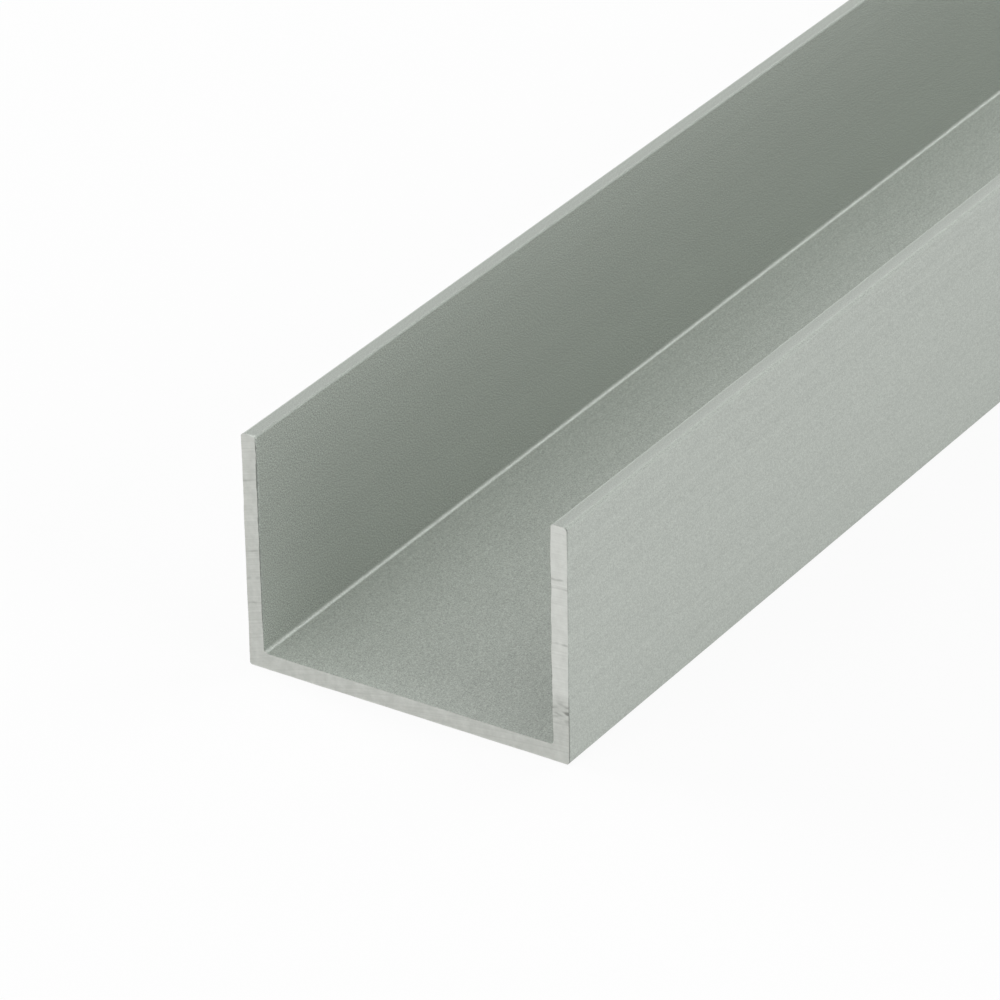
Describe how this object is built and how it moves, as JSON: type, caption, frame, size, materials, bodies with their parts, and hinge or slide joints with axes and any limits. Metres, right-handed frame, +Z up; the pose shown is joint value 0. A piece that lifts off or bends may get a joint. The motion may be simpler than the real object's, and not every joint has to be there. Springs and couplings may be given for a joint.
{
  "type": "aluminium u-channel",
  "caption": "Straight U-channel bar of anodised aluminium with even walls, rounded flange tips and square sawn ends, for edging, guiding or framing panels.",
  "frame": {"origin": "under the middle of the web, halfway along the bar, on the surface that it lies on", "axes": "+X along the bar, +Y across it from flange to flange, +Z up out of the open mouth of the channel"},
  "size_m": [1, 0.043, 0.03],
  "materials": {
    "anodised_aluminium": "satin, silver anodised, with bare sawn ends"
  },
  "bodies": {
    "root": {"u_channel": "anodised_aluminium"}
  },
  "joints": []
}
